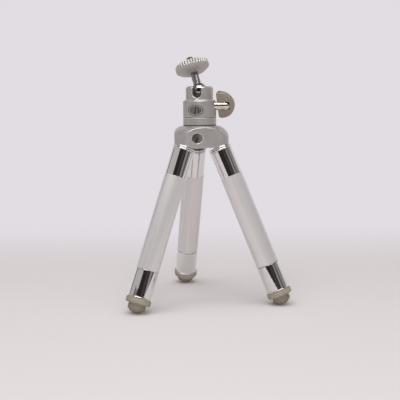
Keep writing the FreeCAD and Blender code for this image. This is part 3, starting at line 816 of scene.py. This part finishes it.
@dataclass
class LegPieces:
    """One leg: tubes, sleeve and foot, drawn in the leg's own frame."""

    leg: Leg
    hinge: Axis
    slide: Axis
    tube_r: float = 9.33 * MM
    bore_r: float = 8.85 * MM
    mouth_r: float = 8.10 * MM
    bead_r: float = 9.70 * MM
    bead_h: float = 1.7 * MM
    bead_gap: float = 0.15 * MM
    tube_top: float = 10.3 * MM
    tube_end: float = 115.25 * MM
    lip_r: float = 0.4 * MM
    mouth_h: float = 3.0 * MM
    mouth_edge: float = 0.15 * MM
    polish_end: float = 34.75 * MM
    sleeve_top: float = 115.45 * MM
    sleeve_end: float = 138.75 * MM
    sleeve_r: float = 9.45 * MM
    sleeve_bore: float = 8.95 * MM
    sleeve_edge: float = 0.25 * MM
    sleeve_bead_r: float = 9.75 * MM
    sleeve_bead_h: float = 1.2 * MM
    sleeve_waist: float = 0.12 * MM
    foot_flange_r: float = 10.4 * MM
    foot_flange_h: float = 4.7 * MM
    foot_top_edge: float = 0.7 * MM
    foot_low_edge: float = 1.5 * MM
    foot_low_sweep: float = 80.0
    foot_root_r: float = 0.5 * MM
    foot_stem_r: float = 7.2 * MM
    foot_shoulder_in: float = 0.05 * MM
    foot_shoulder_low: float = 0.1 * MM
    foot_shoulder_high: float = 0.5 * MM
    foot_tip_r: float = 9.2 * MM
    foot_tip_step: float = 2.5
    foot_centre: float = 141.75 * MM
    steps: int = 96

    def place(self) -> Matrix:
        """Transform from the leg's own frame to the row frame."""
        return stand(self.hinge.point, self.hinge.line, -self.slide.line)

    def name(self, piece: str) -> str:
        """Puts the leg's label in front of a piece's name."""
        return f"{self.leg.value}_{piece}"

    def outer_tube(self) -> BMesh:
        """Tube with a rolled top bead and a necked mouth.

        Returns:
            The tube's mesh in the leg's own frame.
        """
        half = self.bead_h / 2
        bead = arc((self.bead_r - half, -self.tube_top - half), half, 90, -90, steps=10)
        start = self.tube_top + self.bead_h + self.bead_gap
        outside = [(self.tube_r, -start), (self.tube_r, -self.polish_end)]
        end = -self.tube_end
        lip = arc((self.tube_r - self.lip_r, end + self.lip_r), self.lip_r, 0, -90, steps=5)
        slope = self.bore_r - self.mouth_r
        inside = [
            (self.mouth_r + self.mouth_edge, end),
            (self.mouth_r, end + self.mouth_edge),
            (self.mouth_r, end + self.mouth_h),
            (self.bore_r, end + self.mouth_h + slope),
            (self.bore_r, -self.tube_top),
        ]
        return lathe([*bead, *outside, *lip, *inside], self.steps)

    def sleeve(self) -> BMesh:
        """Bright sleeve with a rounded top edge and a rolled bottom edge.

        Returns:
            The sleeve's mesh in the leg's own frame.
        """
        edge, end = self.sleeve_edge, -self.sleeve_end
        top = arc((self.sleeve_r - edge, -self.sleeve_top - edge), edge, 90, 0, steps=4)
        bead_top = end + self.sleeve_bead_h
        dip = self.sleeve_waist
        waist = [(self.sleeve_r, bead_top + dip), (self.sleeve_r - dip, bead_top)]
        half = self.sleeve_bead_h / 2
        bead = arc((self.sleeve_bead_r - half, end + half), half, 75, -90, steps=8)
        inside = [(self.sleeve_bore, end), (self.sleeve_bore, -self.sleeve_top)]
        return lathe([*top, *waist, *bead, *inside], self.steps)

    def foot(self) -> BMesh:
        """Rubber foot: soft-edged flange, short stem and flattened ball tip.

        Returns:
            The foot's mesh in the leg's own frame.
        """
        flange_end = self.sleeve_end + self.foot_flange_h
        high, low, root = self.foot_top_edge, self.foot_low_edge, self.foot_root_r
        top_edge = arc((self.foot_flange_r - high, -self.sleeve_end - high), high, 90, 0, steps=5)
        low_centre = (self.foot_flange_r - low, -flange_end + low)
        low_edge = arc(low_centre, low, 0, -self.foot_low_sweep, steps=7)
        throat = arc((self.foot_stem_r + root, -flange_end - root), root, 90, 180, steps=4)
        drop = math.sqrt(self.foot_tip_r**2 - self.foot_stem_r**2)
        start = -math.degrees(math.asin(drop / self.foot_tip_r)) - self.foot_tip_step
        centre = -self.foot_centre
        tip = arc((0.0, centre), self.foot_tip_r, start, -90, steps=14)
        tip[-1] = (0.0, centre - self.foot_tip_r)
        shoulder = [
            (self.foot_stem_r, centre - drop + self.foot_shoulder_high),
            (self.foot_stem_r - self.foot_shoulder_in, centre - drop + self.foot_shoulder_low),
        ]
        points = [(0.0, -self.sleeve_end), *top_edge, *low_edge, *throat, *shoulder, *tip]
        return lathe(points, self.steps, closed=False)

    def build(self, shop: Workshop) -> None:
        """Makes, dresses and ties this leg's pieces.

        Args:
            shop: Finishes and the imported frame.
        """
        place = self.place()
        label = self.leg.value
        down = self.slide.line
        pivot = place.translation.dot(down)
        tube_look = TubeFinish(self.name("tube_chrome"), tuple(down), pivot + self.polish_end)
        tube = finish_mesh(self.outer_tube(), self.name("outer_tube_rolled"), place)
        seat(tube, label + "_leg", shop.finish(tube_look), [self.name("outer_tube")])
        sleeve = finish_mesh(self.sleeve(), self.name("grip_sleeve_rolled"), place)
        seat(sleeve, label + "_fourth", shop.finish(CHROME), [self.name("grip_sleeve")])
        foot = finish_mesh(self.foot(), self.name("foot_moulded"), place)
        flange_end = pivot + self.sleeve_end + self.foot_flange_h
        foot_look = FootFinish(self.name("foot_rubber"), tuple(down), flange_end)
        seat(foot, label + "_fourth", shop.finish(foot_look), [self.name("foot")])
        for piece in ("leg_head", "second_tube", "third_tube", "fourth_tube"):
            shop.dress_node(self.name(piece), CHROME)
        for piece in ("second_bush", "third_bush", "fourth_bush"):
            shop.dress_node(self.name(piece), BRASS)
        shop.dress_node(self.name("end_plug"), ALLOY)


@dataclass
class StemPieces:
    """Threaded camera stem and ribbed lock disc, drawn in the stem's own frame."""

    tilt: Axis
    turn: Axis
    stem_r: float = 3.25 * MM
    stud_r: float = 3.175 * MM
    stem_start: float = -3.0 * MM
    thread_start: float = 16.0 * MM
    stem_tip: float = 30.5 * MM
    pitch: float = 1.27 * MM
    thread_depth: float = 0.62 * MM
    thread_flat: float = 0.125
    thread_steps: int = 36
    tip_chamfer: float = 0.75 * MM
    tip_slope: float = 0.9
    neck_bevel: float = 0.3 * MM
    neck_overlap: float = 0.02 * MM
    rod_steps: int = 48
    disc_neck: float = 16.1 * MM
    disc_neck_r: float = 5.2 * MM
    disc_bowl_in: float = 2.8 * MM
    disc_bowl_rise: float = 2.0 * MM
    disc_rim_low: float = 20.2 * MM
    disc_top: float = 24.8 * MM
    disc_edge: float = 1.2 * MM
    disc_r: float = 14.4 * MM
    disc_bore: float = 3.225 * MM
    disc_smooth: float = 50.0
    tray_out: float = 12.9 * MM
    tray_in: float = 5.3 * MM
    tray_slope: float = 0.3 * MM
    tray_depth: float = 0.25 * MM
    side_rows: int = 10
    rib_count: int = 36
    rib_steps: int = 8
    rib_depth: float = 0.7 * MM
    rib_low: float = 20.5 * MM
    rib_fade: float = 0.7 * MM
    rib_margin: float = 0.05 * MM
    rib_power: float = 1.3

    def place(self) -> Matrix:
        """Transform from the stem's own frame to the row frame."""
        return stand(self.tilt.point, self.tilt.line, self.turn.line)

    def stem(self) -> BMesh:
        """Plain rod with a helical camera thread on its upper part.

        Returns:
            The stem's mesh in its own frame.
        """
        bm = self.thread()
        self.point_tip(bm)
        self.add_rod(bm)
        return bm

    def thread(self) -> BMesh:
        """Helical thread, cut off square and closed at both ends.

        Returns:
            The thread's mesh in the stem's own frame.
        """
        turns = math.ceil((self.stem_tip - self.thread_start) / self.pitch) + 1
        root = self.stud_r - self.thread_depth
        low = self.stem_tip - turns * self.pitch
        flat = self.pitch * self.thread_flat
        middle = low + self.pitch / 2
        profile = [
            (root, low),
            (root, low + flat),
            (self.stud_r, middle - flat / 2),
            (self.stud_r, middle + flat / 2),
            (root, low + self.pitch - flat),
            (root, low + self.pitch),
        ]
        bm = bmesh.new()
        verts = [bm.verts.new((radius, 0.0, height)) for radius, height in profile]
        edges = [bm.edges.new(pair) for pair in zip(verts, verts[1:])]
        bmesh.ops.spin(
            bm,
            geom=verts + edges,
            cent=(0, 0, 0),
            axis=(0, 0, 1),
            dvec=(0, 0, self.pitch / self.thread_steps),
            angle=FULL_TURN * turns,
            steps=turns * self.thread_steps,
        )
        bmesh.ops.remove_doubles(bm, verts=bm.verts, dist=THREAD_MERGE)
        for height, outward in ((self.thread_start, -1.0), (self.stem_tip, 1.0)):
            plane = bmesh.ops.bisect_plane(
                bm,
                geom=[*bm.verts, *bm.edges, *bm.faces],
                dist=POINT_MERGE,
                plane_co=(0, 0, height),
                plane_no=(0, 0, outward),
                clear_outer=True,
            )
            rim = [item for item in plane["geom_cut"] if isinstance(item, bmesh.types.BMEdge)]
            bmesh.ops.edgenet_fill(bm, edges=rim)
        return bm

    def point_tip(self, bm: BMesh) -> None:
        """Chamfers the thread's free end and marks where the colour darkens: painted shade in the thread's
        roots, and the chamfered tip.

        Args:
            bm: Mesh of the thread.
        """
        groove = bm.verts.layers.float.new(SHADED_CHROME.shade_and_highlight)
        chamfer_start = self.stem_tip - self.tip_chamfer
        for vert in bm.verts:
            reach = math.hypot(vert.co.x, vert.co.y)
            vert[groove] = min(1.0, max(0.0, (self.stud_r - reach) / self.thread_depth))
            limit = self.stud_r - max(0.0, vert.co.z - chamfer_start) * self.tip_slope
            if reach > limit:
                vert.co.x *= limit / reach
                vert.co.y *= limit / reach
                vert[groove] = 1.0

    def add_rod(self, bm: BMesh) -> None:
        """Adds the plain rod under the thread.

        Args:
            bm: Mesh that the rod joins.
        """
        rod_end = self.thread_start + self.neck_overlap
        profile = [
            (0.0, self.stem_start),
            (self.stem_r, self.stem_start),
            (self.stem_r, self.thread_start - self.neck_bevel),
            (self.stem_r - self.neck_bevel, rod_end),
            (0.0, rod_end),
        ]
        rod = lathe(profile, self.rod_steps, closed=False)
        spare = bpy.data.meshes.new("stem_rod")
        rod.to_mesh(spare)
        rod.free()
        bm.from_mesh(spare)
        bpy.data.meshes.remove(spare)

    def disc(self) -> BMesh:
        """Wheel with a bowl-shaped underside and rounded ribs round its rim.

        Returns:
            The disc's mesh in the stem's own frame.
        """
        middle = (self.disc_r - self.disc_bowl_in, self.disc_neck + self.disc_bowl_rise)
        rim = (self.disc_r, self.disc_rim_low)
        bowl = arc_through((self.disc_neck_r, self.disc_neck), middle, rim, steps=10)
        row = (self.disc_top - self.disc_edge - self.rib_low) / self.side_rows
        side = [(self.disc_r, self.rib_low + row * step) for step in range(1, self.side_rows)]
        edge_centre = (self.disc_r - self.disc_edge, self.disc_top - self.disc_edge)
        edge = arc(edge_centre, self.disc_edge, 0, 90, steps=7)
        tray = self.disc_top - self.tray_depth
        top = [
            (self.tray_out, self.disc_top),
            (self.tray_out - self.tray_slope, tray),
            (self.tray_in + self.tray_slope, tray),
            (self.tray_in, self.disc_top),
            (self.disc_bore, self.disc_top),
        ]
        bore = [(self.disc_bore, self.disc_neck)]
        bm = lathe([*bowl, *side, *edge, *top, *bore], self.rib_count * self.rib_steps)
        # The groove layer carries painted shade in the grooves and a painted highlight on the rib crests.
        groove = bm.verts.layers.float.new(DISC_PAINT.shade_and_highlight)
        for vert in bm.verts:
            vert[groove] = self.shape_rib(vert)
        return bm

    def shape_rib(self, vert: bmesh.types.BMVert) -> float:
        """Pulls a rim point inwards between the ribs.

        Args:
            vert: Point of the disc.

        Returns:
            How deep in a groove the point lies: 1 at the bottom, -1 on a rib's crest, 0 elsewhere.
        """
        reach = math.hypot(vert.co.x, vert.co.y)
        inner = self.disc_r - self.disc_edge - self.rib_margin
        if reach < inner or vert.co.z < self.rib_low - self.rib_margin:
            return 0.0
        turn = math.atan2(vert.co.y, vert.co.x) * self.rib_count
        wave = 0.5 - 0.5 * math.cos(turn)
        valley = wave**self.rib_power
        fade = min(1.0, (vert.co.z - self.rib_low) / self.rib_fade)
        scale = 1.0 - self.rib_depth * valley * fade / reach
        vert.co.x *= scale
        vert.co.y *= scale
        return (valley**3 - (1.0 - valley) ** 2) * fade

    def build(self, shop: Workshop) -> None:
        """Makes the stem and the disc and dresses the ball.

        Args:
            shop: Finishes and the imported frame.
        """
        stem = finish_mesh(self.stem(), "camera_stem_threaded", self.place())
        seat(stem, "ball", shop.finish(SHADED_CHROME), ["camera_stem"])
        disc = finish_mesh(self.disc(), "lock_disc_ribbed", self.place(), self.disc_smooth)
        seat(disc, "lock_disc", shop.finish(DISC_PAINT), ["lock_disc"])
        shop.dress_node("pivot_ball", SHADED_BALL_CHROME)


@dataclass
class PlainPieces:
    """CAD nodes that keep their shape, each with its finish."""

    looks: dict[str, Finish]

    def build(self, shop: Workshop) -> None:
        """Dresses each node."""
        for node, look in self.looks.items():
            shop.dress_node(node, look)


@dataclass
class HubPieces(PlainPieces):
    """Cast crown with its hinge screws and the head screw."""

    looks: dict[str, Finish] = field(
        default_factory=lambda: {
            "hub_crown": CAST_PAINT,
            "hinge_screws": SHADED_SCREW_STEEL,
            "hinge_shims": NYLON,
            "head_washer": STEEL,
            "head_screw": STEEL,
        }
    )


@dataclass
class HeadPieces(PlainPieces):
    """Ball housing, base, badge, clamp and the hidden pieces under the ball.

    Seam shadows: the height of the painted shadow line above the lowest edge of each casting.
    """

    looks: dict[str, Finish] = field(
        default_factory=lambda: {
            "ball_cup": BLACK_ACETAL,
            "cup_spring": STEEL,
            "lift_wedge": BRASS,
            "thrust_pin": STEEL,
            "clamp_screw": NICKEL,
            "clamp_knob": WING_PLASTIC,
            "knob_pin": STEEL,
        }
    )
    seam_shadows: dict[str, float] = field(
        default_factory=lambda: {"head_base": 0.9 * MM, "ball_housing": 0.5 * MM}
    )

    def build(self, shop: Workshop) -> None:
        """Dresses the head's nodes.

        Args:
            shop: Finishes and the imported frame.
        """
        super().build(shop)
        shop.dress_node("badge", self.badge_look(shop))
        # Each casting gets a painted shadow line at its seam.
        for node, width in self.seam_shadows.items():
            solid = shop.frame["nodes"][node]
            low = min((solid.matrix_world @ vert.co).z for vert in solid.data.vertices)
            look = replace(
                CAST_PAINT, name=node + "_paint", seam_height=low, seam_shadow_width=width, painted_shade_colour=SEAM_SHADOW
            )
            shop.dress_node(node, look)

    def badge_look(self, shop: Workshop) -> BadgeFinish:
        """Fits the badge's rings to its own oval outline.

        Args:
            shop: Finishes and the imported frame.

        Returns:
            The badge's finish.
        """
        badge = shop.frame["nodes"]["badge"]
        points = [badge.matrix_world @ vert.co for vert in badge.data.vertices]
        middle = sum(points, Vector()) / len(points)
        out = Vector((middle.x, middle.y, 0.0)).normalized()
        side = Vector((-out.y, out.x, 0.0))
        across = [point.dot(side) for point in points]
        up = [point.z for point in points]
        centre = out * middle.dot(out) + side * (max(across) + min(across)) / 2
        centre.z = (max(up) + min(up)) / 2
        half_width = (max(across) - min(across)) / 2
        half_height = (max(up) - min(up)) / 2
        return BadgeFinish("badge_oval", tuple(centre), tuple(side), half_width, half_height)


# Studio


@dataclass
class Camera:
    """Camera fitted to the photograph, in the row frame."""

    location: Triple = (-0.1463, -0.6784, 0.1710)
    yaw: float = 12.143
    pitch: float = 6.947
    roll: float = -0.517
    focal_px: float = 816.7
    image_px: float = 400.0
    sensor: float = 36.0
    near: float = 0.01
    far: float = 20.0

    def build(self) -> None:
        """Makes the camera and sets it as the scene's."""
        data = bpy.data.cameras.new("camera")
        data.sensor_width = self.sensor
        data.lens = self.focal_px / self.image_px * self.sensor
        data.clip_start = self.near
        data.clip_end = self.far
        camera = bpy.data.objects.new("camera", data)
        bpy.context.scene.collection.objects.link(camera)
        yaw, pitch = math.radians(self.yaw), math.radians(self.pitch)
        look = Vector((math.sin(yaw) * math.cos(pitch), math.cos(yaw) * math.cos(pitch), -math.sin(pitch)))
        turn = look.to_track_quat("-Z", "Y").to_matrix().to_4x4()
        roll = Matrix.Rotation(math.radians(self.roll), 4, "Z")
        camera.matrix_world = Matrix.Translation(self.location) @ turn @ roll
        bpy.context.scene.camera = camera


@dataclass(frozen=True)
class Panel:
    """Curved studio panel that only shows in reflections.

    Angles are in degrees round the object from the camera's side, positive to its right. A panel without
    a top radius stands upright.
    """

    name: str
    start: float
    end: float
    strength: float
    low: float = 0.0
    high: float = 2.3
    radius: float = 1.3
    top_radius: Optional[float] = None
    segments: int = 12
    colour: Triple = (1.0, 1.0, 1.0)

    def build(self, camera_azimuth: float) -> None:
        """Makes the panel.

        Args:
            camera_azimuth: Azimuth of the camera seen from the object, in radians.
        """
        top = self.radius if self.top_radius is None else self.top_radius
        bm = bmesh.new()
        bmesh.ops.create_grid(bm, x_segments=self.segments, y_segments=1, size=0.5)
        for vert in bm.verts:
            share, rise = vert.co.x + 0.5, vert.co.y + 0.5
            angle = camera_azimuth + math.radians(self.start + (self.end - self.start) * share)
            height = self.low + (self.high - self.low) * rise
            reach = self.radius + (top - self.radius) * rise
            vert.co = (reach * math.cos(angle), reach * math.sin(angle), height)
        panel = finish_mesh(bm, self.name, Matrix.Identity(4))
        nodes = Nodes(self.name)
        glow = nodes.add("ShaderNodeEmission")
        glow.inputs["Color"].default_value = (*self.colour, 1.0)
        glow.inputs["Strength"].default_value = self.strength
        nodes.link(glow.outputs["Emission"], nodes.output.inputs["Surface"])
        dress(panel, nodes.material)
        for ray in ("camera", "diffuse", "shadow", "transmission"):
            setattr(panel, "visible_" + ray, False)


WARM_WALL = (1.0, 0.955, 0.945)


@dataclass(frozen=True)
class Softbox:
    """Square area lamp: direction from the object in degrees, distance, side and power.

    It lights without being mirrored; the panels are what bright metal shows.
    """

    name: str
    side_angle: float
    elevation: float
    distance: float
    size: float
    power: float

    def build(self, camera_azimuth: float, aim: Vector) -> None:
        """Hangs the lamp and points it.

        Args:
            camera_azimuth: Azimuth of the camera seen from the object, in radians.
            aim: Point that it shines at.
        """
        data = bpy.data.lights.new(self.name, "AREA")
        data.shape = "SQUARE"
        data.size = self.size
        data.energy = self.power
        lamp = bpy.data.objects.new(self.name, data)
        lamp.visible_glossy = False
        bpy.context.scene.collection.objects.link(lamp)
        azimuth = camera_azimuth + math.radians(self.side_angle)
        rise = math.radians(self.elevation)
        flat = math.cos(rise)
        way = Vector((math.cos(azimuth) * flat, math.sin(azimuth) * flat, math.sin(rise)))
        turn = (-way).to_track_quat("-Z", "Y").to_matrix().to_4x4()
        lamp.matrix_world = Matrix.Translation(aim + way * self.distance) @ turn


@dataclass
class Studio:
    """Lamps, mirrored panels and a pale floor that fades into the backdrop."""

    camera_azimuth: float
    aim: Vector = field(default_factory=lambda: Vector((0.0, 0.0, 0.1)))
    floor_colour: Triple = (0.80, 0.745, 0.742)
    floor_shade: float = 0.985
    floor_scale: float = 3.0
    floor_detail: float = 2.0
    floor_rough: float = 0.9
    floor_half: float = 12.0
    back_colour: Triple = (0.755, 0.72, 0.762)
    world_colour: Triple = (1.0, 0.99, 1.0)
    world_strength: float = 0.38
    fade_start: float = 0.06
    fade_end: float = 0.42
    rim_start: float = 0.45
    rim_end: float = 1.0
    lamps: tuple[Softbox, ...] = (
        Softbox("key", -20.0, 76.0, 1.15, 1.1, 8.4),
        Softbox("front", -2.0, 4.0, 1.3, 0.6, 9.0),
        Softbox("fill", 34.0, 9.0, 1.3, 0.9, 2.2),
    )
    panels: tuple[Panel, ...] = (
        Panel("dark_room", -33.0, 38.0, 0.03, high=1.2, colour=(1.0, 0.78, 0.72)),
        Panel("room_corner", 10.0, 17.0, 0.09, high=1.2, radius=1.28, colour=(1.0, 0.86, 0.82)),
        Panel("room_shelf", 24.0, 26.0, 0.14, high=1.2, radius=1.28, colour=(1.0, 0.9, 0.88)),
        Panel("upper_room", -33.0, 35.0, 0.5, low=1.2, radius=1.31),
        Panel("right_wall", 38.0, 57.0, 0.27, high=1.1, colour=WARM_WALL),
        Panel("right_gap", 57.0, 70.0, 0.08),
        Panel("right_far_wall", 70.0, 110.0, 0.27, high=1.1, colour=WARM_WALL),
        Panel("right_ceiling", 35.0, 110.0, 0.16, low=1.1, radius=1.31),
        Panel("left_wall", -110.0, -33.0, 0.52, high=1.1, colour=WARM_WALL),
        Panel("left_bench", -70.0, -33.0, 0.13, high=0.62, radius=1.28, colour=WARM_WALL),
        Panel("left_shelf", -52.0, -48.0, 0.45, high=0.62, radius=1.27, colour=WARM_WALL),
        Panel("left_ceiling", -110.0, -33.0, 0.2, low=1.1, radius=1.31),
        Panel("left_gap", -128.0, -112.0, 0.16),
        Panel("ceiling", -180.0, 180.0, 0.14, low=2.3, high=2.4, radius=1.4, top_radius=0.01, segments=24),
        Panel("top_strip", -60.0, 60.0, 7.0, low=1.15, high=1.95, radius=0.85, top_radius=0.55),
    )

    def build(self) -> None:
        """Makes everything round the object."""
        bpy.context.scene.view_settings.view_transform = "Standard"
        self.world()
        self.floor()
        for lamp in self.lamps:
            lamp.build(self.camera_azimuth, self.aim)
        for panel in self.panels:
            panel.build(self.camera_azimuth)

    def world(self) -> None:
        """Even pale world; the camera and metal see the backdrop's colour."""
        world = bpy.data.worlds.new("studio")
        bpy.context.scene.world = world
        world.use_nodes = True
        tree = world.node_tree
        tree.nodes.clear()
        out, soft, seen, mix, path, either = (
            tree.nodes.new("ShaderNode" + kind)
            for kind in ("OutputWorld", "Background", "Background", "MixShader", "LightPath", "Math")
        )
        either.operation = "MAXIMUM"
        soft.inputs["Color"].default_value = (*self.world_colour, 1.0)
        soft.inputs["Strength"].default_value = self.world_strength
        seen.inputs["Color"].default_value = (*self.back_colour, 1.0)
        seen.inputs["Strength"].default_value = 1.0
        tree.links.new(path.outputs["Is Camera Ray"], either.inputs[0])
        tree.links.new(path.outputs["Is Glossy Ray"], either.inputs[1])
        tree.links.new(either.outputs[0], mix.inputs[0])
        tree.links.new(soft.outputs[0], mix.inputs[1])
        tree.links.new(seen.outputs[0], mix.inputs[2])
        tree.links.new(mix.outputs[0], out.inputs["Surface"])

    def floor(self) -> None:
        """Large pale floor; behind the object and far from it, it takes on the backdrop's tone."""
        bm = bmesh.new()
        bmesh.ops.create_grid(bm, x_segments=1, y_segments=1, size=self.floor_half)
        floor = finish_mesh(bm, "floor", Matrix.Identity(4))
        nodes = Nodes("floor_paper")
        tone = nodes.noise(self.floor_scale, self.floor_detail)
        shade = tuple(self.floor_shade * value for value in self.floor_colour)
        nodes.feed(nodes.mix(tone, self.floor_colour, shade), "Base Color")
        nodes.shader.inputs["Roughness"].default_value = self.floor_rough
        nodes.shader.inputs["Specular IOR Level"].default_value = 0.0
        away = Vector((-math.cos(self.camera_azimuth), -math.sin(self.camera_azimuth), 0.0))
        behind = nodes.along(away, self.fade_start, self.fade_end, smooth=True)
        reach = nodes.add("ShaderNodeVectorMath", operation="LENGTH")
        nodes.link(nodes.coords, reach.inputs[0])
        rim = nodes.remap(reach.outputs["Value"], 0.0, 1.0, self.rim_start, self.rim_end, smooth=True)
        far = nodes.combine("MAXIMUM", behind, rim)
        glow = nodes.add("ShaderNodeEmission")
        glow.inputs["Color"].default_value = (*self.back_colour, 1.0)
        blend = nodes.add("ShaderNodeMixShader")
        nodes.link(far, blend.inputs[0])
        nodes.link(nodes.shader.outputs["BSDF"], blend.inputs[1])
        nodes.link(glow.outputs["Emission"], blend.inputs[2])
        nodes.link(blend.outputs["Shader"], nodes.output.inputs["Surface"])
        dress(floor, nodes.material)


def main() -> None:
    logging.basicConfig(level=logging.INFO)
    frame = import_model()
    shop = Workshop(frame)
    for leg in Leg:
        hinge = Axis.of(frame, f"{leg.value}_leg_hinge")
        slide = Axis.of(frame, f"{leg.value}_second_slide")
        LegPieces(leg, hinge, slide).build(shop)
    HubPieces().build(shop)
    HeadPieces().build(shop)
    StemPieces(Axis.of(frame, "ball_tilt"), Axis.of(frame, "disc_turn")).build(shop)
    camera = Camera()
    camera.build()
    Studio(math.atan2(camera.location[1], camera.location[0])).build()


if __name__ == "__main__":
    main()
